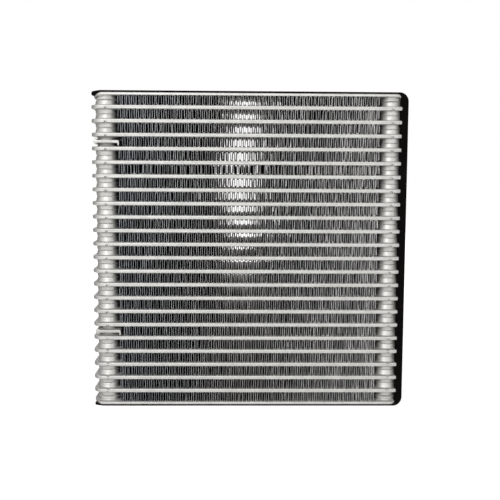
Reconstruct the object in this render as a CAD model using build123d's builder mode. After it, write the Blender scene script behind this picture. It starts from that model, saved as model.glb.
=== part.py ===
"""Evaporator core of a car air conditioner, in millimetres.

Flat tubes lie one above the other, each pressed from two plates and brazed rim to rim. At both
ends the plates are drawn into cups that stand on the cups of the next tube, so that the cups
form a tank up each side. Corrugated fins fill the gaps, an end plate closes the core above and
below, two port plates split the left tank and carry the pipe stubs at the rear, and a foam tape
seals the top, the right side and the bottom.

X runs across the core, Y from the front to the rear and Z up. The origin is the middle of the
core's underside, where the foam rests.
"""

import os
from math import ceil, copysign, cos, hypot, pi, sin

from build123d import *

# Tubes
tube_count = 22
tube_pitch = 10.5
tube_thickness = 3.0
tube_length = 243.0
core_depth = 55.0
tube_corner = 5.0

# Tank cups, drawn out of both faces of every tube at each end
cup_width = 18.0
cup_edge_setback = 4.5
cup_nose_flats = 6
cup_rim = 2.2
cup_draft = 12.0

# Corrugated fins
fin_edge_setback = 2.5
fin_thickness = 0.4
fin_leg_pitch = 6.0
fin_end_gap = 0.6
fin_port_gap = 1.6

# End plates above and below the core, with their ends bent towards it
plate_thickness = 2.0
plate_lip_run = 5.9
plate_right_setback = 2.1
top_left_setback = 2.1
top_lip_drop = 1.9
bottom_left_setback = 0.4
bottom_lip_drop = 1.5

# Port plates, clamped between the cups of the left tank
upper_port_gap = 3
lower_port_gap = 17
port_plate_thickness = 2.2
port_plate_setback = 2.5
port_lip_thickness = 1.8
port_lip_drop = 2.4
port_lip_gap = 0.5
port_lip_bend = 0.8

# Connections at the rear of the port plates
saddle_width = 20.0
saddle_height = 20.0
saddle_depth = 7.0
saddle_corner = 3.0
pipe_wall = 1.0
pipe_seat = 4.0
pipe_reach = 18.0
outlet_diameter = 15.9
inlet_diameter = 9.5

# Foam tape
foam_edge_setback = 0.5
foam_thickness = 1.5
foam_side_thickness = 5.9
foam_bite = 5.5
foam_cup_gap = 0.3
foam_corner = 7.0
foam_top_setback = 1.5
foam_top_end_thickness = 2.4
foam_bottom_setback = 2.5

# Places that follow from the sizes above
fin_height = tube_pitch - tube_thickness
fin_depth = core_depth - 2 * fin_edge_setback
cup_height = fin_height / 2
cup_depth = core_depth - 2 * cup_edge_setback
cup_x = tube_length / 2 - cup_rim - cup_width / 2
cup_inner_x = cup_x - cup_width / 2
plate_bottom_z = foam_thickness
lowest_tube_z = plate_bottom_z + plate_thickness + fin_height + tube_thickness / 2
highest_tube_z = lowest_tube_z + (tube_count - 1) * tube_pitch
plate_top_z = highest_tube_z + tube_thickness / 2 + fin_height + plate_thickness
foam_width = core_depth - 2 * foam_edge_setback
foam_top_z = plate_top_z + foam_thickness
foam_inner_x = tube_length / 2 - foam_bite
foam_outer_x = foam_inner_x + foam_side_thickness
rear_y = core_depth / 2
port_inner_x = cup_inner_x - port_lip_gap - port_lip_thickness


def tube_z(number):
    """Middle height of a tube, counted from 1 at the top."""
    return highest_tube_z - (number - 1) * tube_pitch


def gap_z(number):
    """Middle height of the gap below a tube; gap 0 is the one above the first tube."""
    return tube_z(1) + tube_pitch / 2 - number * tube_pitch


port_gaps = (upper_port_gap, lower_port_gap)


def left_cup_height(gap):
    """A cup on the left reaches the middle of its gap, or the port plate that lies there."""
    return cup_height - (port_plate_thickness / 2 if gap in port_gaps else 0)


os.makedirs("parts", exist_ok=True)


def tank_cup(x, face_z, height, direction):
    """A tank cup drawn up (1) or down (-1) from its plate's face, with its round noses in flats."""
    radius = cup_width / 2
    nose_y = cup_depth / 2 - radius
    turns = [pi * step / cup_nose_flats for step in range(cup_nose_flats + 1)]
    rear = [(x + radius * cos(turn), nose_y + radius * sin(turn)) for turn in turns]
    front = [(2 * x - across, -along) for across, along in rear]
    with BuildPart() as cup:
        with BuildSketch(Plane.XY.offset(face_z)):
            with BuildLine():
                Polyline(*rear, *front, close=True)
            make_face()
        extrude(amount=height, taper=cup_draft)
    if direction > 0:
        return cup.part
    return mirror(cup.part, about=Plane.XY.offset(face_z))


# Flat tubes: two plates brazed rim to rim, with four tank cups
for number in range(1, tube_count + 1):
    cups = []
    for direction, gap in ((1, number - 1), (-1, number)):
        face_z = tube_z(number) + direction * tube_thickness / 2
        cups.append(tank_cup(cup_x, face_z, cup_height, direction))
        cups.append(tank_cup(-cup_x, face_z, left_cup_height(gap), direction))
    with BuildPart() as tube:
        with BuildSketch(Plane.XY.offset(tube_z(number) - tube_thickness / 2)):
            rim = Rectangle(tube_length, core_depth)
            chamfer(rim.vertices(), length=tube_corner)
        extrude(amount=tube_thickness)
        add(cups)
    tube.part.label = f"tube_{number:02d}"
    export_step(tube.part, f"parts/tube_{number:02d}.step")


# Corrugated fins: a thin ribbon folded up and down between two tubes
for number in range(1, tube_count + 2):
    gap = number - 1
    right_x = cup_inner_x - fin_end_gap
    left_x = fin_end_gap - cup_inner_x
    if gap in port_gaps:
        left_x = fin_port_gap - port_inner_x
    leg_count = ceil((right_x - left_x) / fin_leg_pitch)
    leg_run = (right_x - left_x) / leg_count
    upright = fin_thickness * hypot(leg_run, fin_height) / leg_run
    low = gap_z(gap) - fin_height / 2
    high = gap_z(gap) + fin_height / 2 - upright
    underside = [
        (left_x + leg_run * fold, low if fold % 2 else high) for fold in range(leg_count + 1)
    ]
    topside = [(x, z + upright) for x, z in reversed(underside)]
    with BuildPart() as fin:
        with BuildSketch(Plane.XZ):
            with BuildLine():
                Polyline(*underside, *topside, close=True)
            make_face()
        extrude(amount=fin_depth / 2, both=True)
    fin.part.label = f"fin_{number:02d}"
    export_step(fin.part, f"parts/fin_{number:02d}.step")


def end_plate_profile(outer_z, left_setback, drop):
    """Section of an end plate across X: flat, with both ends bent by a drop towards the core."""
    inner_z = outer_z - copysign(plate_thickness, drop)
    left_x = left_setback - tube_length / 2
    right_x = tube_length / 2 - plate_right_setback
    with BuildSketch(Plane.XZ) as profile:
        with BuildLine():
            Polyline(
                (left_x, outer_z - drop),
                (left_x + plate_lip_run, outer_z),
                (right_x - plate_lip_run, outer_z),
                (right_x, outer_z - drop),
                (right_x, inner_z - drop),
                (right_x - plate_lip_run, inner_z),
                (left_x + plate_lip_run, inner_z),
                (left_x, inner_z - drop),
                close=True,
            )
        make_face()
    return profile.sketch


top_end = (plate_top_z, top_left_setback, top_lip_drop)
bottom_end = (plate_bottom_z, bottom_left_setback, -bottom_lip_drop)

# End plates: the last cup of each tank is drawn out of them
for name, end, direction in (("top_end_plate", top_end, -1), ("bottom_end_plate", bottom_end, 1)):
    inner_z = end[0] + direction * plate_thickness
    cups = [tank_cup(x, inner_z, cup_height, direction) for x in (-cup_x, cup_x)]
    with BuildPart() as end_plate:
        extrude(end_plate_profile(*end), amount=core_depth / 2, both=True)
        add(cups)
    end_plate.part.label = name
    export_step(end_plate.part, f"parts/{name}.step")


# Port plates: a flat plate across the left tank, with its inner end bent down
for name, gap in (("upper_port_plate", upper_port_gap), ("lower_port_plate", lower_port_gap)):
    middle = gap_z(gap)
    top = middle + port_plate_thickness / 2
    underside = middle - port_plate_thickness / 2
    outer_x = port_plate_setback - tube_length / 2
    with BuildPart() as port_plate:
        with BuildSketch(Plane.XZ):
            with BuildLine():
                Polyline(
                    (outer_x, top),
                    (-port_inner_x, top),
                    (-port_inner_x, underside - port_lip_drop),
                    (-port_inner_x - port_lip_thickness, underside - port_lip_drop),
                    (-port_inner_x - port_lip_thickness, underside),
                    (outer_x, underside),
                    close=True,
                )
            make_face()
        extrude(amount=core_depth / 2, both=True)
        bend = port_plate.edges().filter_by(Axis.Y).group_by(Axis.Z)[-1].sort_by(Axis.X)[-1]
        fillet(bend, radius=port_lip_bend)
    port_plate.part.label = name
    export_step(port_plate.part, f"parts/{name}.step")


# Connections: a saddle block on the rear rims, and a pipe stub brazed into it
for name, gap, diameter in (
    ("outlet", upper_port_gap, outlet_diameter),
    ("inlet", lower_port_gap, inlet_diameter),
):
    outer = diameter / 2
    seat_y = rear_y + saddle_depth - pipe_seat
    with BuildPart() as saddle:
        with BuildSketch(Plane.XZ.offset(-rear_y)):
            with Locations((-cup_x, gap_z(gap))):
                block = Rectangle(saddle_width, saddle_height)
            chamfer(block.vertices(), length=saddle_corner)
        extrude(amount=-saddle_depth)
        with BuildSketch(Plane.XZ.offset(-seat_y)):
            with Locations((-cup_x, gap_z(gap))):
                Circle(outer)
        extrude(amount=-pipe_seat, mode=Mode.SUBTRACT)
    saddle.part.label = f"{name}_saddle"
    export_step(saddle.part, f"parts/{name}_saddle.step")

    with BuildPart() as pipe:
        with BuildSketch(Plane.XZ.offset(-seat_y)):
            with Locations((-cup_x, gap_z(gap))):
                Circle(outer)
                Circle(outer - pipe_wall, mode=Mode.SUBTRACT)
        extrude(amount=-pipe_seat - pipe_reach)
    pipe.part.label = f"{name}_pipe"
    export_step(pipe.part, f"parts/{name}_pipe.step")


# Foam tape: stuck over the top, the right side and the bottom, pressed onto the tips it covers
top_bend_x = top_left_setback + plate_lip_run - tube_length / 2
top_end_x = foam_top_setback - tube_length / 2
top_end_z = plate_top_z - (top_bend_x - top_end_x) * top_lip_drop / plate_lip_run
bottom_bend_x = bottom_left_setback + plate_lip_run - tube_length / 2
bottom_end_x = foam_bottom_setback - tube_length / 2
bottom_end_z = plate_bottom_z + (bottom_bend_x - bottom_end_x) * bottom_lip_drop / plate_lip_run
with BuildPart() as foam_seal:
    with BuildSketch(Plane.XZ):
        with BuildLine():
            Polyline(
                (top_end_x, top_end_z + foam_top_end_thickness),
                (top_bend_x, foam_top_z),
                (foam_outer_x, foam_top_z),
                (foam_outer_x, 0),
                (bottom_bend_x, 0),
                (bottom_end_x, bottom_end_z - foam_thickness),
                (bottom_end_x, bottom_end_z),
                (bottom_bend_x, plate_bottom_z),
                (foam_inner_x, plate_bottom_z),
                (foam_inner_x, plate_top_z),
                (top_bend_x, plate_top_z),
                (top_end_x, top_end_z),
                close=True,
            )
        make_face()
    extrude(amount=foam_width / 2, both=True)
    outer_corners = foam_seal.edges().filter_by(Axis.Y).group_by(Axis.X)[-1]
    fillet(outer_corners, radius=foam_corner)
    for end in (top_end, bottom_end):
        profile = end_plate_profile(*end)
        extrude(profile, amount=foam_width / 2, both=True, mode=Mode.SUBTRACT)
    with BuildSketch(Plane.XZ):
        for number in range(1, tube_count + 1):
            with Locations((foam_inner_x + foam_bite / 2, tube_z(number))):
                Rectangle(foam_bite, tube_thickness)
    extrude(amount=foam_width / 2, both=True, mode=Mode.SUBTRACT)
    with BuildSketch(Plane.XY.offset(plate_bottom_z)):
        with Locations((cup_x, 0)):
            Rectangle(cup_width + 2 * foam_cup_gap, cup_depth)
    extrude(amount=plate_top_z - plate_bottom_z, mode=Mode.SUBTRACT)
foam_seal.part.label = "foam_seal"
export_step(foam_seal.part, "parts/foam_seal.step")
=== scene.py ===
"""Evaporator core of a car air conditioner: pressed aluminium tubes, louvred fins and a foam seal.

Sizes are in millimetres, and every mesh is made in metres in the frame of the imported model.
"""

from math import cos, pi, radians, sin, sqrt

import bmesh
import bpy
import numpy as np
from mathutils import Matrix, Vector
from mathutils.geometry import delaunay_2d_cdt


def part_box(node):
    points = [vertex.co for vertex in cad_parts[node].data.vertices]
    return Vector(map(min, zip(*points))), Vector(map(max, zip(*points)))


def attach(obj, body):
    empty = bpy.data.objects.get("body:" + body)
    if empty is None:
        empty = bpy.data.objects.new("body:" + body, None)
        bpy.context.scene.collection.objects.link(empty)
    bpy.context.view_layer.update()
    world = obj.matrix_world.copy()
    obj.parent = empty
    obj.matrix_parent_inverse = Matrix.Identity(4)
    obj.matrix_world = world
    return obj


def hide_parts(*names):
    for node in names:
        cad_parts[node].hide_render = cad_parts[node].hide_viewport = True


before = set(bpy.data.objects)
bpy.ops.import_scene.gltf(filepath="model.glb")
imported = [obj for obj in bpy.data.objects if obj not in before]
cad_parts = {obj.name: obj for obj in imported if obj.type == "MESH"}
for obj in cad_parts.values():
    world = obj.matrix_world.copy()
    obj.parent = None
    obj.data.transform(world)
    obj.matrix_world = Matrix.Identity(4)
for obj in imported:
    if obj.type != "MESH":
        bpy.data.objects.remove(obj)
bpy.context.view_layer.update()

# Camera: 0.63 m in front of the core, level with its upper quarter and turned a little down.
camera = bpy.data.objects.new("camera", bpy.data.cameras.new("camera"))
camera.data.sensor_width = 36
camera.data.lens = 58.68
camera.location = (-0.01179, -0.65576, 0.18622)
camera.rotation_euler = (radians(84.342), radians(-0.33), radians(-1.12))
bpy.context.scene.collection.objects.link(camera)
bpy.context.scene.camera = camera


# Flat tubes. Each is two plates of thin aluminium sheet, pressed to a shallow dish with a rolled
# rim and brazed rim to rim. Both ends are drawn out into oblong cups, which stand on the cups of
# the next tube and make up the tanks.
MM = 0.001
TUBE_COUNT = 22
TUBE_HALF_LENGTH = 121.5
TUBE_HALF_DEPTH = 27.5
TUBE_CORNER = 8.5
CUP_X = 110.3
CUP_HALF_WIDTH = 9.0
CUP_HALF_DEPTH = 23.9
CUP_HEIGHT = 3.75
PORT_CUP_HEIGHT = 2.65
PORT_GAPS = (3, 17)
# Inset from the outline, and height above the seam between the two plates
RIM = (
    (0.16, 0.0), (0.06, 0.05), (0.0, 0.2), (0.0, 0.6), (0.06, 0.98),
    (0.26, 1.3), (0.62, 1.47), (1.0, 1.5), (1.5, 1.5),
)
# Growth of the oblong, and height above the plate, up to the joint at the middle of the gap
CUP_WALL = (
    (0.6, 0.0), (0.2, 0.12), (0.0, 0.45), (-0.16, 1.2), (-0.34, 2.2), (-0.5, 3.1),
    (-0.62, 3.5), (-0.95, 3.7), (-2.2, 3.75),
)
# Wall of the narrower cups that hold a port plate between them
PORT_CUP_WALL = (
    (0.6, 0.0), (-0.6, 0.3), (-1.3, 0.9), (-1.7, 1.8), (-1.9, 2.8), (-2.0, 3.5), (-2.4, 3.75),
)
# Half-round notch in the rim in front of the middle of each tank, which holds the plates in line
NOTCH_X = 109.84
NOTCH_RADIUS = 0.95
NOTCH_DEPTH = 1.2
# Points of the rim across a notch, counted in its radii, and every so far along the rest
NOTCH_STOPS = (-1.3, -1, -0.92, -0.7, -0.38, 0, 0.38, 0.7, 0.92, 1, 1.3)
FLAT_STOPS = range(-90, 91, 15)
# Height above the seam at which a notch starts. The last four tubes have one above it and one below
NOTCH_START = 0.5
TWIN_NOTCH_START = 0.7
TWIN_NOTCHES_FROM = 19
# Share of its colour that a face keeps under painted shade: on top, and on faces that look
# left or right, such as the tanks' side walls
TOP_PAINTED_SHADE = 0.85
LEFT_PAINTED_SHADE = 0.3
RIGHT_PAINTED_SHADE = 0.08


def colour(code):
    """Linear colour of an sRGB hex code."""
    parts = [int(code[place:place + 2], 16) / 255 for place in (1, 3, 5)]
    return (*[p / 12.92 if p <= 0.04045 else ((p + 0.055) / 1.055) ** 2.4 for p in parts], 1)


def add_node(material, kind, inputs=(), **settings):
    """Adds a node, sets its settings, and sets or links its inputs."""
    node = material.node_tree.nodes.new("ShaderNode" + kind)
    for name, value in settings.items():
        setattr(node, name, value)
    for name, value in dict(inputs).items():
        if isinstance(value, bpy.types.NodeSocket):
            material.node_tree.links.new(value, node.inputs[name])
        else:
            node.inputs[name].default_value = value
    return node


def link(material, output, shader, name):
    """Links a node's output to an input of the shader."""
    material.node_tree.links.new(output, shader.inputs[name])


def brazed_aluminium(name, light, dark, metallic=0.35, roughness=(0.42, 0.56)):
    """Aluminium sheet after the brazing furnace: pale and matt, with faint blotches of flux about
    9 mm across and a grain drawn at 0.4 mm, coarser than the real one, so that it shows. It gives
    back light softly, with no mirror images. Painted shade darkens its colour a little on faces that
    look up, and much more on faces that look left or right, such as the tanks' side walls."""
    material = bpy.data.materials.new(name)
    material.use_nodes = True
    shader = material.node_tree.nodes["Principled BSDF"]
    place = add_node(material, "TexCoord").outputs["Object"]
    blotches = add_node(material, "TexNoise", {
        "Vector": place, "Scale": 110.0, "Detail": 4.0, "Roughness": 0.6,
    })
    tone = add_node(material, "ValToRGB", {"Fac": blotches.outputs["Fac"]})
    tone.color_ramp.elements[0].position = 0.32
    tone.color_ramp.elements[0].color = colour(dark)
    tone.color_ramp.elements[1].position = 0.62
    tone.color_ramp.elements[1].color = colour(light)
    grain = add_node(material, "TexNoise", {"Vector": place, "Scale": 2600.0, "Detail": 3.0})
    sheen = add_node(material, "MapRange", {
        "Value": grain.outputs["Fac"], "To Min": roughness[0], "To Max": roughness[1],
    })
    relief = add_node(material, "Bump", {
        "Height": grain.outputs["Fac"], "Strength": 0.12, "Distance": 0.0001,
    })
    # Painted shade: the colour is scaled down by the normal on faces that look up, left or right
    normal = add_node(material, "NewGeometry").outputs["Normal"]
    facing = add_node(material, "SeparateXYZ", {"Vector": normal})
    top, left, right = (
        add_node(material, "MapRange", {
            "Value": facing.outputs[axis], "From Min": low, "From Max": high, "To Min": first, "To Max": last,
        }).outputs["Result"]
        for axis, low, high, first, last in (
            ("Z", 0.3, 0.85, 1.0, TOP_PAINTED_SHADE),
            ("X", -0.95, -0.4, LEFT_PAINTED_SHADE, 1.0),
            ("X", 0.45, 0.9, 1.0, RIGHT_PAINTED_SHADE),
        )
    )
    sides = add_node(material, "Math", {0: left, 1: right}, operation="MULTIPLY")
    share = add_node(material, "Math", {0: top, 1: sides.outputs[0]}, operation="MULTIPLY")
    painted_shade_colour = add_node(material, "VectorMath", {
        0: tone.outputs["Color"], "Scale": share.outputs[0],
    }, operation="SCALE")
    link(material, painted_shade_colour.outputs["Vector"], shader, "Base Color")
    link(material, sheen.outputs["Result"], shader, "Roughness")
    link(material, relief.outputs["Normal"], shader, "Normal")
    shader.inputs["Metallic"].default_value = metallic
    shader.inputs["Specular IOR Level"].default_value = 0.25
    return material


def outline(half_x, half_y, corner, inset, stops):
    """Points round a rounded rectangle, anticlockwise from the front, with stops on its long edges."""
    x, y, radius = half_x - inset, half_y - inset, corner - inset
    turns = [pi / 16 * step for step in range(9)]
    points = [(stop, -y) for stop in stops]
    points += [(x - radius + radius * sin(t), -y + radius - radius * cos(t)) for t in turns]
    points += [(x - radius + radius * cos(t), y - radius + radius * sin(t)) for t in turns]
    points += [(stop, y) for stop in reversed(stops)]
    points += [(-x + radius - radius * sin(t), y - radius + radius * cos(t)) for t in turns]
    points += [(-x + radius - radius * cos(t), -y + radius - radius * sin(t)) for t in turns]
    return points


def oblong(x, half_width, half_depth, growth):
    """Points round an oblong with half-round ends at the front and the rear."""
    radius = half_width + growth
    nose = half_depth - half_width
    turns = [pi / 14 * step for step in range(15)]
    points = [(x + radius * cos(t), nose + radius * sin(t)) for t in turns]
    return points + [(x - radius * cos(t), -nose - radius * sin(t)) for t in turns]


def strip(faces, first, second, count):
    """Quads between two closed rings of points, which start at the given numbers."""
    for step in range(count):
        after = (step + 1) % count
        faces.append((first + step, first + after, second + after, second + step))


def add_cup(points, faces, x, level, direction, height, wall):
    """A cup's rings and its closed end, from the plate's face at level. Gives back its base ring."""
    base = len(points)
    for growth, rise in wall:
        z = level + direction * rise * height / CUP_HEIGHT
        points.extend((*spot, z) for spot in oblong(x, CUP_HALF_WIDTH, CUP_HALF_DEPTH, growth))
    count = (len(points) - base) // len(wall)
    for ring in range(len(wall) - 1):
        strip(faces, base + ring * count, base + (ring + 1) * count, count)
    faces.append(tuple(range(len(points) - count, len(points))))
    return list(range(base, base + count))


def fill_flat(points, faces, edge, holes):
    """Triangles over a flat face between its edge and the base rings of its cups."""
    numbers = [*edge, *[number for hole in holes for number in hole]]
    loops = []
    start = 0
    for ring in (edge, *holes):
        loops += [(start + step, start + (step + 1) % len(ring)) for step in range(len(ring))]
        start += len(ring)
    spots, _, triangles, sources, _, _ = delaunay_2d_cdt(
        [Vector(points[number][:2]) for number in numbers], loops, [], 1, 1e-6
    )
    for triangle in triangles:
        middle = sum((spots[corner] for corner in triangle), Vector((0, 0))) / 3
        nose = CUP_HALF_DEPTH - CUP_HALF_WIDTH
        beside = Vector((abs(middle.x) - CUP_X, max(abs(middle.y) - nose, 0)))
        if beside.length > CUP_HALF_WIDTH + 0.5:
            faces.append(tuple(numbers[sources[corner][0]] for corner in triangle))


def make_piece(name, points, faces, material, smooth=True, angle=38):
    """An object from points in millimetres. When smooth, its faces are turned outwards and it is shaded
    smooth.
    """
    mesh = bpy.data.meshes.new(name)
    mesh.from_pydata((np.asarray(points, float) * MM).tolist(), [], faces)
    mesh.materials.append(material)
    piece = bpy.data.objects.new(name, mesh)
    bpy.context.scene.collection.objects.link(piece)
    if smooth:
        shell = bmesh.new()
        shell.from_mesh(mesh)
        bmesh.ops.recalc_face_normals(shell, faces=shell.faces)
        shell.to_mesh(mesh)
        shell.free()
        mesh.shade_smooth()
        mesh.set_sharp_from_angle(angle=radians(angle))
    return piece


def pressed_tube(middle, left_heights, notched, notch_start):
    """Both plates of a tube, with left cups of the given heights above and below. Plates of the
    directions in notched have notches, which start that far from the seam."""
    stops = sorted(
        [side * NOTCH_X + NOTCH_RADIUS * across for side in (-1, 1) for across in NOTCH_STOPS]
        + [float(x) for x in FLAT_STOPS]
    )
    points, faces = [], []
    for direction, left_height in zip((1, -1), left_heights):
        first = len(points)
        for inset, height in RIM:
            ring = outline(TUBE_HALF_LENGTH, TUBE_HALF_DEPTH, TUBE_CORNER, inset, stops)
            for x, y in ring:
                across = abs(abs(x) - NOTCH_X) / NOTCH_RADIUS
                in_notch = across < 1 and height > notch_start and abs(y) > TUBE_HALF_DEPTH - 2
                if direction in notched and in_notch:
                    depth = NOTCH_DEPTH * sqrt(1 - across * across)
                    y -= depth if y > 0 else -depth
                points.append((x, y, middle + direction * height))
        count = (len(points) - first) // len(RIM)
        for ring in range(len(RIM) - 1):
            strip(faces, first + ring * count, first + (ring + 1) * count, count)
        edge = list(range(len(points) - count, len(points)))
        level = middle + direction * RIM[-1][1]
        left_wall = CUP_WALL if left_height == CUP_HEIGHT else PORT_CUP_WALL
        holes = [
            add_cup(points, faces, -CUP_X, level, direction, left_height, left_wall),
            add_cup(points, faces, CUP_X, level, direction, CUP_HEIGHT, CUP_WALL),
        ]
        fill_flat(points, faces, edge, holes)
    return points, faces


tube_aluminium = brazed_aluminium("brazed_sheet_aluminium", "#DEDDD9", "#CFCECA")
for number in range(1, TUBE_COUNT + 1):
    low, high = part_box(f"tube_{number:02d}")
    heights = [PORT_CUP_HEIGHT if gap in PORT_GAPS else CUP_HEIGHT for gap in (number - 1, number)]
    notches = ((-1, 1), TWIN_NOTCH_START) if number >= TWIN_NOTCHES_FROM else ((-1,), NOTCH_START)
    points, faces = pressed_tube((low.z + high.z) / 2 / MM, heights, *notches)
    tube = make_piece(f"pressed_tube_{number:02d}", points, faces, tube_aluminium)
    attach(tube, "root")
    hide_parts(f"tube_{number:02d}")


# Louvred fins. Each is one ribbon of aluminium foil, folded up and down about 58 times and brazed
# between two tubes. Every leg is cut into slats that are turned out of its plane, and the folds
# are never quite even, because the ribbon is pushed together by hand.
# Half of the fins' depth. They stand back a little from the rims, at the front and at the rear
FIN_FRONT = 26.2
# Drawn thicker than real foil of about 0.1 mm, so that the cut edge of each fold shows
FOIL = 0.25
FOLD_PITCH = 1.75
LEAN = 0.06
CREST_RISE = 0.8
CREST_FLAT = 0.25
MARGIN = 1.8
# Dark sheets in the crests' hollows, painted shade: their height from the tube, and how far they stand back
# from the edges
SHADE_SHEET_RISE = 1.05
SHADE_SHEET_BACK = 4.0
# Slats of each leg, 1.2 mm wide, a little coarser than real ones so that they show. The degrees by
# which the front ones are turned, and the share of it for the rear ones, which are turned back
SLAT_COUNT = 40
SLAT_TURN = 14.0
REAR_TURN = 0.4
# How uneven the folds are: drift along the row, place of a leg and of its crests, in mm, and then
# slant with depth, the same in the loose row, turn of the slats and bend of the edges, in degrees
DRIFT, LEG_STRAY, CREST_STRAY = 0.22, 0.1, 0.05
SKEW_STRAY, LOOSE_SKEW_STRAY, TURN_STRAY, EDGE_BEND = 0.15, 0.9, 4.0, 6.0
LOOSE_ROW = 5
# How far the legs of a row run towards the right with depth, in degrees
ROW_SKEW = {0: 0.8, 1: 0.8, 2: 0.65, 3: 0.55, 4: 0.45, 6: 0.4, 7: 0.35, 8: 0.5, 9: 0.6, 10: 0.8}
USUAL_SKEW = 0.5
# Rows whose slats are turned further, to this many degrees, so that hardly any light comes through
CLOSED_ROWS = {5: 50.0, 11: 34.0}


def boxes(corners):
    """Faces of the prisms whose eight corners lie one after the other, without their two ends."""
    start = np.arange(len(corners) // 8)[:, None, None] * 8
    sides = np.array([(0, 1, 5, 4), (1, 2, 6, 5), (2, 3, 7, 6), (3, 0, 4, 7)])[None]
    return (start + sides).reshape(-1, 4)


def louvred_fin(left, right, low, high, gap):
    """Points and faces of one folded ribbon between two tubes, and which faces belong to its plain
    margins and its cut edges."""
    rng = np.random.default_rng(400 + gap)
    legs = 2 * round((right - left) / FOLD_PITCH / 2)
    pitch = (right - left) / legs
    middle = left + pitch * (np.arange(legs) + 0.5)
    drift = np.convolve(rng.normal(0, DRIFT, legs + 8), np.ones(9) / 9, "valid")
    drift = drift + rng.normal(0, LEG_STRAY, legs)
    lean = LEAN * np.where(np.arange(legs) % 2, -1, 1)
    top_x = middle + drift + lean + rng.normal(0, CREST_STRAY, legs)
    bottom_x = middle + drift - lean + rng.normal(0, CREST_STRAY, legs)
    stray = LOOSE_SKEW_STRAY if gap == LOOSE_ROW else SKEW_STRAY
    skew = np.tan(np.radians(ROW_SKEW.get(gap, USUAL_SKEW) + rng.normal(0, stray, legs)))
    turn = np.radians(CLOSED_ROWS.get(gap, SLAT_TURN) + rng.normal(0, TURN_STRAY, legs))
    bend = MARGIN * np.tan(np.radians(rng.normal(0, EDGE_BEND, legs).clip(-32, 32)))

    # Crests: round folds across the whole depth, brazed to the tube above or below
    steps = np.linspace(0, pi, 7)
    parts, quads, edges, total = [], [], [], 0
    for up in (1, -1):
        starts = np.arange(0 if up > 0 else 1, legs - 1, 2)
        line = top_x if up > 0 else bottom_x
        a, b = line[starts][:, None], line[starts + 1][:, None]
        base = (high - CREST_RISE) if up > 0 else (low + CREST_RISE)
        across = (1 - np.cos(steps)) / 2
        x = np.concatenate([a, a + (b - a) * across, b], 1)
        z = np.concatenate([
            np.full_like(a, base - up * CREST_FLAT),
            np.broadcast_to(base + up * (CREST_RISE - FOIL / 2) * np.sin(steps), (len(starts), 7)),
            np.full_like(a, base - up * CREST_FLAT),
        ], 1)
        slant = np.concatenate([skew[starts][:, None], skew[starts][:, None] * (1 - across)
                                + skew[starts + 1][:, None] * across, skew[starts + 1][:, None]], 1)
        dx, dz = np.gradient(x, axis=1), np.gradient(z, axis=1)
        size = np.hypot(dx, dz)
        nx, nz = -dz / size * FOIL / 2, dx / size * FOIL / 2
        rings = []
        for y, side in ((-FIN_FRONT, 1), (-FIN_FRONT, -1), (FIN_FRONT, -1), (FIN_FRONT, 1)):
            rings.append(np.stack([x + side * nx + slant * y, np.full_like(x, y), z + side * nz], -1))
        corners = np.stack(rings, 2)
        count, length = corners.shape[:2]
        grid = total + np.arange(count * length * 4).reshape(count, length, 4)
        for side in range(4):
            after = (side + 1) % 4
            quads.append(np.stack([grid[:, :-1, side], grid[:, :-1, after],
                                   grid[:, 1:, after], grid[:, 1:, side]], -1).reshape(-1, 4))
            edges.append(np.full(len(quads[-1]), side % 2 == 0))
        parts.append(corners.reshape(-1, 3))
        total += count * length * 4

    # Dark sheets inside the crests, standing back from the edges, that close the folds' hollows:
    # painted shade, where the hollows are in shade
    for up in (1, -1):
        starts = np.arange(0 if up > 0 else 1, legs - 1, 2)
        line = top_x if up > 0 else bottom_x
        a, b = line[starts], line[starts + 1]
        face = high if up > 0 else low
        corners = []
        for y in (-FIN_FRONT + SHADE_SHEET_BACK, FIN_FRONT - SHADE_SHEET_BACK):
            for x, z in ((a, face - up * 0.02), (a, face - up * SHADE_SHEET_RISE),
                         (b, face - up * SHADE_SHEET_RISE), (b, face - up * 0.02)):
                corners.append(np.stack([x, np.full(len(starts), y), np.full(len(starts), z)], -1))
        corners = np.stack(corners, 1).reshape(-1, 3)
        first = total + np.arange(len(starts))[:, None, None] * 8
        parts.append(corners)
        quads.append((first + np.array([(0, 1, 2, 3), (7, 6, 5, 4), (1, 5, 6, 2)])[None]).reshape(-1, 4))
        edges.append(np.zeros(len(quads[-1]), bool))
        total += len(corners)

    # Plain margins of the legs at the front and the rear, with the edge a little bent. They take the
    # bright edge material all over, painted light on the front and the rear of each leg
    z0, z1 = low + CREST_RISE + CREST_FLAT - 0.05, high - CREST_RISE - CREST_FLAT + 0.05
    levels = ((0.0, 0.0), (0.2, 1.0), (0.8, 1.0), (1.0, 0.0))
    for outer, inner in ((-FIN_FRONT, -FIN_FRONT + MARGIN), (FIN_FRONT, FIN_FRONT - MARGIN)):
        for (start, bent), (stop, bent_after) in zip(levels, levels[1:]):
            corners = []
            for share, amount in ((start, bent), (stop, bent_after)):
                line = bottom_x + (top_x - bottom_x) * share
                for y, side in ((outer, 1), (outer, -1), (inner, -1), (inner, 1)):
                    out = bend * amount if y == outer else 0
                    corners.append(np.stack([line + side * FOIL / 2 + skew * y + out,
                                             np.full(legs, y), np.full(legs, z0 + (z1 - z0) * share)], -1))
            corners = np.stack(corners, 1).reshape(-1, 3)
            parts.append(corners)
            quads.append(total + boxes(corners))
            edges.append(np.ones(len(quads[-1]), bool))
            total += len(corners)

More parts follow.
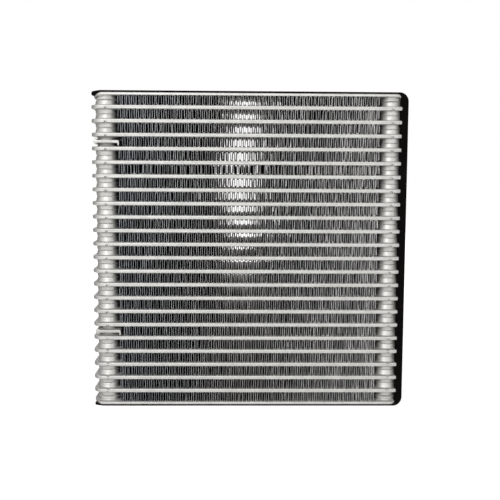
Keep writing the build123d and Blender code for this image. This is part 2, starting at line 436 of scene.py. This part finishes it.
    # Slats: two banks, turned one way at the front and the other way, less far, at the rear
    pitch_y = 2 * (FIN_FRONT - MARGIN) / SLAT_COUNT
    y = -FIN_FRONT + MARGIN + pitch_y * (np.arange(SLAT_COUNT) + 0.5)
    bank = np.where(y < 0, -1.0, 1.0 if gap in CLOSED_ROWS else REAR_TURN)
    angle = turn[:, None] * bank[None]
    half_x, half_y = np.sin(angle) * pitch_y / 2, np.cos(angle) * pitch_y / 2
    corners = []
    for line, z, side in ((bottom_x, z0, -1), (bottom_x, z0, 1), (top_x, z1, 1), (top_x, z1, -1)):
        corners.append(np.stack([
            line[:, None] + skew[:, None] * y[None] + side * half_x,
            y[None] + side * half_y,
            np.full((legs, SLAT_COUNT), z),
        ], -1))
    corners = np.stack(corners, 2).reshape(-1, 3)
    parts.append(corners)
    quads.append(total + np.arange(len(corners)).reshape(-1, 4))
    edges.append(np.zeros(len(quads[-1]), bool))
    return np.concatenate(parts), np.concatenate(quads).tolist(), np.concatenate(edges)


def fin_foil(name, light, dark, painted_light_stops, metallic):
    """Thin aluminium foil, greyer and duller than the sheet, each fold of its own tone, in streaks
    2.4 mm wide. Along the core its colour is multiplied by painted light and shade from
    painted_light_stops: for the foil dark blue-grey at the left, dark brownish in the middle and
    pale to the right, so the fins grow paler to the right."""
    material = bpy.data.materials.new(name)
    material.use_nodes = True
    shader = material.node_tree.nodes["Principled BSDF"]
    place = add_node(material, "TexCoord").outputs["Object"]
    stretched = add_node(material, "Mapping", {"Vector": place, "Scale": (420.0, 20.0, 60.0)})
    streaks = add_node(material, "TexNoise", {
        "Vector": stretched.outputs["Vector"], "Scale": 1.0, "Detail": 2.0,
    })
    tone = add_node(material, "ValToRGB", {"Fac": streaks.outputs["Fac"]})
    tone.color_ramp.elements[0].position = 0.38
    tone.color_ramp.elements[0].color = colour(dark)
    tone.color_ramp.elements[1].position = 0.65
    tone.color_ramp.elements[1].color = colour(light)
    # Painted light and shade: a ramp over X across the core multiplies the colour, darker at the left
    across = add_node(material, "SeparateXYZ", {"Vector": place})
    along = add_node(material, "MapRange", {
        "Value": across.outputs["X"], "From Min": -0.1, "From Max": 0.1,
    })
    painted_light_ramp = add_node(material, "ValToRGB", {"Fac": along.outputs["Result"]})
    painted_light_ramp.color_ramp.elements.new(0.45)
    for stop, code in zip(painted_light_ramp.color_ramp.elements, painted_light_stops):
        stop.color = colour(code)
    painted_light_tone = add_node(material, "VectorMath", {
        0: tone.outputs["Color"], 1: painted_light_ramp.outputs["Color"],
    }, operation="MULTIPLY")
    link(material, painted_light_tone.outputs["Vector"], shader, "Base Color")
    shader.inputs["Metallic"].default_value = metallic
    shader.inputs["Roughness"].default_value = 0.42
    shader.inputs["Specular IOR Level"].default_value = 0.2
    return material


# The foil's dark stops are painted shade in the fins, and its pale right end is painted light
foil = fin_foil("fin_foil_painted_shade_and_light", "#FFFFFF", "#9A9A9A", ("#363C42", "#2C2A29", "#F2F0EC"), 0.05)
# The cut edges and the legs' margins take this brighter copy of the foil: the bare cut edge is bright of
# itself, and on the margins the brightness is painted light
edge_foil_painted_light = fin_foil("cut_foil_edge_painted_light", "#FFFFFF", "#B4B4B4", ("#C4C8CC", "#CECCCA", "#FFFFFF"), 0.3)
for number in range(1, TUBE_COUNT + 2):
    low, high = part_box(f"fin_{number:02d}")
    points, faces, edges = louvred_fin(low.x / MM, high.x / MM, low.z / MM, high.z / MM, number - 1)
    fin = make_piece(f"louvred_fin_{number:02d}", points, faces, foil, smooth=False)
    fin.data.materials.append(edge_foil_painted_light)
    fin.data.polygons.foreach_set("material_index", edges.astype(np.int32))
    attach(fin, "root")
    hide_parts(f"fin_{number:02d}")


# End plates. Each is one thicker pressed sheet that closes the core above or below. Its ends are
# bent towards the core, and the last cup of each tank, with a bead round it, is drawn out of it.
PLATE_THICKNESS = 2.0
PLATE_LIP_RUN = 5.9
PLATE_THINNING = 0.6
BEADED_WALL = (
    (0.6, 0.0), (0.1, 0.12), (-0.35, 0.5), (-0.5, 1.0), (-0.35, 1.45), (-0.05, 1.85),
    (0.08, 2.25), (0.0, 2.65), (-0.35, 3.05), (-0.9, 3.4), (-1.45, 3.66), (-2.2, 3.75),
)


def lip(x, left, right, drop):
    """How far a face of the plate has come down at x, with a drop at its two ends."""
    beyond = max(left + PLATE_LIP_RUN - x, x - right + PLATE_LIP_RUN, 0) / PLATE_LIP_RUN
    return drop * beyond ** 1.25


def bent_plate(left, right, outer, direction, drop):
    """The sheet with its bent ends, and its two cups."""
    stations = [*np.linspace(left, left + PLATE_LIP_RUN + 5, 24),
                *np.linspace(left + 20, right - 20, 12),
                *np.linspace(right - PLATE_LIP_RUN - 5, right, 24)]
    points, faces = [], []
    for x in stations:
        into = max(left + TUBE_CORNER - x, x - right + TUBE_CORNER, 0)
        depth = TUBE_HALF_DEPTH - TUBE_CORNER + sqrt(max(TUBE_CORNER ** 2 - into ** 2, 0))
        ring = [
            (-depth, 0.3), (-depth + 0.2, 0.1), (-depth + 0.6, 0), (depth - 0.6, 0),
            (depth - 0.2, 0.1), (depth, 0.3), (depth, 0.85), (depth - 0.08, 0.96),
            (depth - 0.25, 1), (-depth + 0.25, 1), (-depth + 0.08, 0.96), (-depth, 0.85),
        ]
        outside = lip(x, left, right, drop + PLATE_THINNING)
        inside = PLATE_THICKNESS + lip(x, left, right, drop)
        for y, share in ring:
            points.append((x, y, outer - direction * (outside + (inside - outside) * share)))
    for station in range(len(stations) - 1):
        strip(faces, station * 12, station * 12 + 12, 12)
    faces.append(tuple(range(12)))
    faces.append(tuple(range(len(points) - 12, len(points))))
    for x in (-CUP_X, CUP_X):
        add_cup(points, faces, x, outer - direction * PLATE_THICKNESS, -direction, CUP_HEIGHT, BEADED_WALL)
    return points, faces


plate_aluminium = brazed_aluminium("brazed_plate_aluminium", "#E2E1DE", "#D3D2CE")
for name, direction, drop in (("top_end_plate", 1, 1.9), ("bottom_end_plate", -1, 1.5)):
    low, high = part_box(name)
    outer = (high.z if direction > 0 else low.z) / MM
    points, faces = bent_plate(low.x / MM, high.x / MM, outer, direction, drop)
    plate = make_piece(f"{name}_sheet", points, faces, plate_aluminium)
    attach(plate, "root")
    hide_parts(name)


# Port plates. Each is a short thick plate clamped between two cups of the left tank, with a rolled
# outer end and its inner end bent down over the fins.
PORT_HALF = 1.1
PORT_HOOK = 2.1
PORT_LIP = 1.3
PORT_INSET = 0.5
PORT_ROUNDING = 0.4


def bar(profile, y0, y1, edge):
    """A bar along Y with the given section, its ends rounded over by edge."""
    section = np.array(profile, float)
    along = np.roll(section, -1, 0) - np.roll(section, 1, 0)
    along /= np.linalg.norm(along, axis=1)[:, None]
    inward = np.stack([-along[:, 1], along[:, 0]], 1)
    points, faces = [], []
    rings = [(y0, edge), (y0 + edge * 0.3, edge * 0.3), (y0 + edge, 0),
             (y1 - edge, 0), (y1 - edge * 0.3, edge * 0.3), (y1, edge)]
    for y, inset in rings:
        points.extend((x, y, z) for x, z in section + inward * inset)
    count = len(section)
    for ring in range(len(rings) - 1):
        strip(faces, ring * count, (ring + 1) * count, count)
    faces.append(tuple(range(count)))
    faces.append(tuple(range(len(points) - count, len(points))))
    return points, faces


def port_section(left, right, middle):
    """Section of a port plate, anticlockwise seen from the front."""
    right -= PORT_INSET
    lip = right - PORT_LIP
    top, under = middle + PORT_HALF, middle - PORT_HALF
    bulge = [(left + 1.5 - 1.5 * sin(t), middle - 2.2 * cos(t)) for t in np.linspace(0, pi, 13)]
    fold = [(right - 1.5 + 1.5 * sin(t), top - 1.5 + 1.5 * cos(t)) for t in np.linspace(0, pi / 2, 7)]
    foot = [(right, under - PORT_HOOK + 0.5), (right - 0.2, under - PORT_HOOK + 0.1),
            (right - 0.6, under - PORT_HOOK), (lip + 0.6, under - PORT_HOOK),
            (lip + 0.2, under - PORT_HOOK + 0.1), (lip, under - PORT_HOOK + 0.5),
            (lip - 0.1, under - 0.5), (lip - 0.5, under - 0.1), (lip - 1.0, under)]
    return (bulge + [(left + 2.9, top)] + fold + foot + [(left + 2.9, under)])[::-1]


port_aluminium = brazed_aluminium("brazed_port_aluminium", "#D8D7D3", "#C4C3BF")
for name in ("upper_port_plate", "lower_port_plate"):
    low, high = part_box(name)
    middle = high.z / MM - PORT_HALF
    section = port_section(low.x / MM, high.x / MM, middle)
    points, faces = bar(section, low.y / MM, high.y / MM, PORT_ROUNDING)
    plate = make_piece(f"{name}_pressing", points, faces, port_aluminium)
    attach(plate, "root")
    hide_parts(name)


# Connections. A cut block of aluminium bar is brazed onto the rims at the rear, and a drawn pipe
# stub with a rolled bead near its mouth is brazed into it, with a fillet of filler metal round it.
BLOCK_CORNER = 3.5
BLOCK_ROUNDING = 0.7
FILLET = 2.0
PIPE_WALL = 1.0


def turned(profile, x, z, turns=64):
    """Points and faces of a profile of radius and Y turned round an axis along Y."""
    points, faces = [], []
    for radius, y in profile:
        for step in range(turns):
            angle = 2 * pi * step / turns
            points.append((x + radius * cos(angle), y, z + radius * sin(angle)))
    for ring in range(len(profile) - 1):
        strip(faces, ring * turns, (ring + 1) * turns, turns)
    return points, faces


block_aluminium = brazed_aluminium("sawn_block_aluminium", "#D6D5D2", "#C4C3C0", 0.6, (0.38, 0.5))
pipe_aluminium = brazed_aluminium("drawn_pipe_aluminium", "#DEDDDA", "#CFCECB", 0.75, (0.26, 0.36))
for name in ("outlet", "inlet"):
    low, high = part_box(f"{name}_saddle")
    pipe_low, pipe_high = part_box(f"{name}_pipe")
    x, z = (pipe_low.x + pipe_high.x) / 2 / MM, (pipe_low.z + pipe_high.z) / 2 / MM
    half = (high.x - low.x) / 2 / MM
    face, mouth = high.y / MM, pipe_high.y / MM
    outer = (pipe_high.x - pipe_low.x) / 2 / MM
    inner = outer - PIPE_WALL
    corners = []
    for turn, (sx, sz) in enumerate(((1, 1), (-1, 1), (-1, -1), (1, -1))):
        for step in range(7):
            angle = pi / 2 * turn + pi / 12 * step
            corners.append((x + sx * (half - BLOCK_CORNER) + BLOCK_CORNER * cos(angle),
                            z + sz * (half - BLOCK_CORNER) + BLOCK_CORNER * sin(angle)))
    points, faces = bar(corners, low.y / MM, face, BLOCK_ROUNDING)
    fillet = [(outer + FILLET * (1 - sin(t)), face - 0.05 + FILLET * (1 - cos(t)))
              for t in np.linspace(0, pi / 2, 7)]
    fillet_points, fillet_faces = turned(fillet, x, z)
    faces += [tuple(len(points) + number for number in quad) for quad in fillet_faces]
    points += fillet_points
    block = make_piece(f"{name}_brazed_block", points, faces, block_aluminium)
    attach(block, "root")
    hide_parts(f"{name}_saddle")

    bead = mouth - 6.5
    profile = [(outer, face - 3.5), (outer, bead - 1.9), (outer + 0.15, bead - 1.6)]
    profile += [(outer + 0.15 + 1.2 * sin(t), bead - 1.4 * cos(t)) for t in np.linspace(0.1, pi - 0.1, 9)]
    profile += [(outer + 0.15, bead + 1.6), (outer, bead + 1.9), (outer, mouth - 0.4),
                (outer - 0.15, mouth - 0.1), (outer - 0.4, mouth), (inner + 0.3, mouth),
                (inner, mouth - 0.3), (inner, face - 3.4), (0.01, face - 3.4)]
    points, faces = turned(profile, x, z)
    pipe = make_piece(f"{name}_pipe_stub", points, faces, pipe_aluminium)
    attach(pipe, "root")
    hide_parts(f"{name}_pipe")


# Foam seal. One length of soft black closed-cell tape, cut from a sheet and stuck over the top,
# the right side and the bottom. Its edges are soft, and the tips of the tubes sink into it.
FOAM_CORNER = 7.0
FOAM_LEFT = -120.2
FOAM_BEND = -113.5
FOAM_LIP = 116.0
FOAM_POCKET = 3.6
FOAM_END_SLIM = (0.6, 0.84, 0.96, 1.0)
# How many times paler the black skin is painted on top and on its right side, as painted light
FOAM_PAINTED_LIGHT = 26.0


def foam_line(top, bottom, right, corner, top_drop, bottom_drop):
    """Points along one face of the tape, from its upper left end round to its lower left end."""
    shares = np.array([1.0, 0.97, 0.92, 0.84, 0.74, 0.62, 0.5, 0.36, 0.22, 0.1, 0.0])
    run = FOAM_LEFT - FOAM_BEND
    line = [(FOAM_BEND + run * share, top - top_drop * share ** 1.4) for share in shares]
    line += [(x, top) for x in np.linspace(FOAM_BEND + 4, right - corner, 70)]
    for turn in np.linspace(0, pi / 2, 11)[1:]:
        line.append((right - corner + corner * sin(turn), top - corner + corner * cos(turn)))
    line += [(right, z) for z in np.linspace(top - corner - 3, bottom + corner + 3, 70)]
    for turn in np.linspace(0, pi / 2, 11):
        line.append((right - corner + corner * cos(turn), bottom + corner - corner * sin(turn)))
    line += [(x, bottom) for x in np.linspace(right - corner - 3, FOAM_BEND + 4, 70)]
    line += [(FOAM_BEND + run * share, bottom + bottom_drop * share ** 1.3) for share in shares[::-1]]
    return np.array(line)


def foam_tape(low, high, plate_top, plate_bottom):
    """The tape's rings of points between its outer and its inner face."""
    rng = np.random.default_rng(7)
    outer = foam_line(high.z / MM, low.z / MM, high.x / MM, FOAM_CORNER, 1.1, 0.8)
    inner = foam_line(plate_top, plate_bottom, FOAM_LIP, 2.4, 2.9, 1.75)
    half = (high.y - low.y) / 2 / MM
    count = len(outer)
    wave = np.convolve(rng.normal(0, 0.35, count + 10), np.ones(11) / 11, "valid")
    points, faces = [], []
    for place in range(count):
        end = min(place, count - 1 - place)
        slim = FOAM_END_SLIM[end] if end < len(FOAM_END_SLIM) else 1.0
        out, back = outer[place], inner[place]
        across = back - out
        thick = float(np.linalg.norm(across))
        soft = min(0.9, thick * 0.42)
        beside = min(1.0, max(0.0, (min(back[1] - plate_bottom, plate_top - back[1]) - 1.0) / 2.0))
        pocket = FOAM_POCKET * beside if back[0] > FOAM_LIP - 0.01 else 0.0
        ring = []
        for side in (-1, 1):
            edge = side * (half - 0.25 - abs(wave[place]) * 0.6)
            for turn in np.linspace(0, pi, 9):
                share = 0.5 - 0.5 * cos(turn)
                bulge = sin(turn) ** 0.8 * soft
                ring.append((share if side < 0 else 1 - share, edge - side * (soft - bulge), 0.0))
            if side < 0:
                ring += [(1.0, -22.6, 0.0), (1.0, -21.4, pocket), (1.0, 21.4, pocket), (1.0, 22.6, 0.0)]
        for share, y, sunk in ring:
            share = 0.5 + (share - 0.5) * slim
            spot = out + across * share
            points.append((spot[0] + sunk, y, spot[1]))
    size = len(points) // count
    for place in range(count - 1):
        strip(faces, place * size, (place + 1) * size, size)
    faces.append(tuple(range(size)))
    faces.append(tuple(range(len(points) - size, len(points))))
    return points, faces


def cell_foam(name, base, worn):
    """Closed-cell foam rubber: black and dull, its cut skin full of fine cells of about 0.6 mm. On
    top and on its right side it is painted paler, a dark brownish grey, as painted light."""
    material = bpy.data.materials.new(name)
    material.use_nodes = True
    shader = material.node_tree.nodes["Principled BSDF"]
    place = add_node(material, "TexCoord").outputs["Object"]
    cells = add_node(material, "TexVoronoi", {"Vector": place, "Scale": 1600.0, "Randomness": 1.0})
    cloud = add_node(material, "TexNoise", {"Vector": place, "Scale": 60.0, "Detail": 5.0})
    tone = add_node(material, "ValToRGB", {"Fac": cloud.outputs["Fac"]})
    tone.color_ramp.elements[0].position = 0.4
    tone.color_ramp.elements[0].color = colour(base)
    tone.color_ramp.elements[1].position = 0.75
    tone.color_ramp.elements[1].color = colour(worn)
    relief = add_node(material, "Bump", {
        "Height": cells.outputs["Distance"], "Strength": 0.5, "Distance": 0.0003,
    })
    # Painted light: faces that look up or to the right are made paler by their normal
    normal = add_node(material, "NewGeometry").outputs["Normal"]
    facing = add_node(material, "SeparateXYZ", {"Vector": normal})
    top, side = (
        add_node(material, "MapRange", {
            "Value": facing.outputs[axis], "From Min": low, "From Max": high,
            "To Min": 1.0, "To Max": FOAM_PAINTED_LIGHT,
        }).outputs["Result"]
        for axis, low, high in (("Z", 0.1, 0.8), ("X", 0.6, 0.98))
    )
    most = add_node(material, "Math", {0: top, 1: side}, operation="MAXIMUM")
    painted_light_foam_colour = add_node(material, "VectorMath", {
        0: tone.outputs["Color"], "Scale": most.outputs[0],
    }, operation="SCALE")
    link(material, painted_light_foam_colour.outputs["Vector"], shader, "Base Color")
    link(material, relief.outputs["Normal"], shader, "Normal")
    shader.inputs["Roughness"].default_value = 0.85
    shader.inputs["Specular IOR Level"].default_value = 0.06
    return material


foam = cell_foam("closed_cell_foam", "#070505", "#0E0A09")
low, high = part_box("foam_seal")
points, faces = foam_tape(
    low, high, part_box("top_end_plate")[1].z / MM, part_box("bottom_end_plate")[0].z / MM
)
seal = make_piece("foam_tape", points, faces, foam, angle=60)
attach(seal, "root")
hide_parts("foam_seal")


# Studio: a white floor, a soft lamp above the front to the left, a weaker one to the right and one
# behind. The floor and the world are white where the camera, metal or glass sees them, and add
# little light. Near the core the floor glows a little less, so that the core's shadow shows on it.
ROOM_LIGHT = 0.04
scene = bpy.context.scene
scene.view_settings.view_transform = "Standard"
world = bpy.data.worlds.new("white_room")
world.use_nodes = True
scene.world = world
path = add_node(world, "LightPath")
seen = add_node(world, "Math", {
    0: path.outputs["Is Camera Ray"], 1: path.outputs["Is Glossy Ray"],
}, operation="MAXIMUM")
seen = add_node(world, "Math", {
    0: seen.outputs[0], 1: path.outputs["Is Transmission Ray"],
}, operation="MAXIMUM")
strength = add_node(world, "MapRange", {"Value": seen.outputs[0], "To Min": ROOM_LIGHT, "To Max": 1.0})
backdrop = world.node_tree.nodes["Background"]
backdrop.inputs["Color"].default_value = (1, 1, 1, 1)
world.node_tree.links.new(strength.outputs["Result"], backdrop.inputs["Strength"])

floor_white = bpy.data.materials.new("white_floor")
floor_white.use_nodes = True
nodes = floor_white.node_tree.nodes
shader = nodes["Principled BSDF"]
shader.inputs["Base Color"].default_value = colour("#D8D8D8")
shader.inputs["Roughness"].default_value = 0.9
shader.inputs["Specular IOR Level"].default_value = 0.0
path = add_node(floor_white, "LightPath")
seen = add_node(floor_white, "Math", {
    0: path.outputs["Is Camera Ray"], 1: path.outputs["Is Glossy Ray"],
}, operation="MAXIMUM")
seen = add_node(floor_white, "Math", {
    0: seen.outputs[0], 1: path.outputs["Is Transmission Ray"],
}, operation="MAXIMUM")
place = add_node(floor_white, "TexCoord").outputs["Object"]
away = add_node(floor_white, "VectorMath", {0: place}, operation="LENGTH")
fade = add_node(floor_white, "MapRange", {
    "Value": away.outputs["Value"], "From Min": 0.14, "From Max": 0.6, "To Min": 0.86, "To Max": 1.0,
})
lift = add_node(floor_white, "Math", {
    0: seen.outputs[0], 1: fade.outputs["Result"],
}, operation="MULTIPLY")
glow = add_node(floor_white, "Emission", {"Color": (1, 1, 1, 1), "Strength": lift.outputs[0]})
both = add_node(floor_white, "AddShader")
floor_white.node_tree.links.new(shader.outputs[0], both.inputs[0])
floor_white.node_tree.links.new(glow.outputs[0], both.inputs[1])
floor_white.node_tree.links.new(both.outputs[0], nodes["Material Output"].inputs["Surface"])
floor_mesh = bpy.data.meshes.new("floor")
floor_mesh.from_pydata([(-8, -8, 0), (8, -8, 0), (8, 8, 0), (-8, 8, 0)], [], [(0, 1, 2, 3)])
floor_mesh.materials.append(floor_white)
floor = bpy.data.objects.new("floor", floor_mesh)
scene.collection.objects.link(floor)

for name, spot, size, power in (
    ("soft_lamp_front", (-0.5, -1.35, 0.66), 0.5, 11.0),
    ("soft_lamp_right", (0.5, -1.3, 0.3), 0.6, 2.2),
    ("soft_lamp_back", (0.9, 1.3, 0.9), 0.8, 9.0),
):
    lamp = bpy.data.lights.new(name, "AREA")
    lamp.size = size
    lamp.energy = power
    holder = bpy.data.objects.new(name, lamp)
    holder.location = spot
    holder.rotation_euler = (Vector((0, 0, 0.12)) - Vector(spot)).to_track_quat("-Z", "Y").to_euler()
    scene.collection.objects.link(holder)
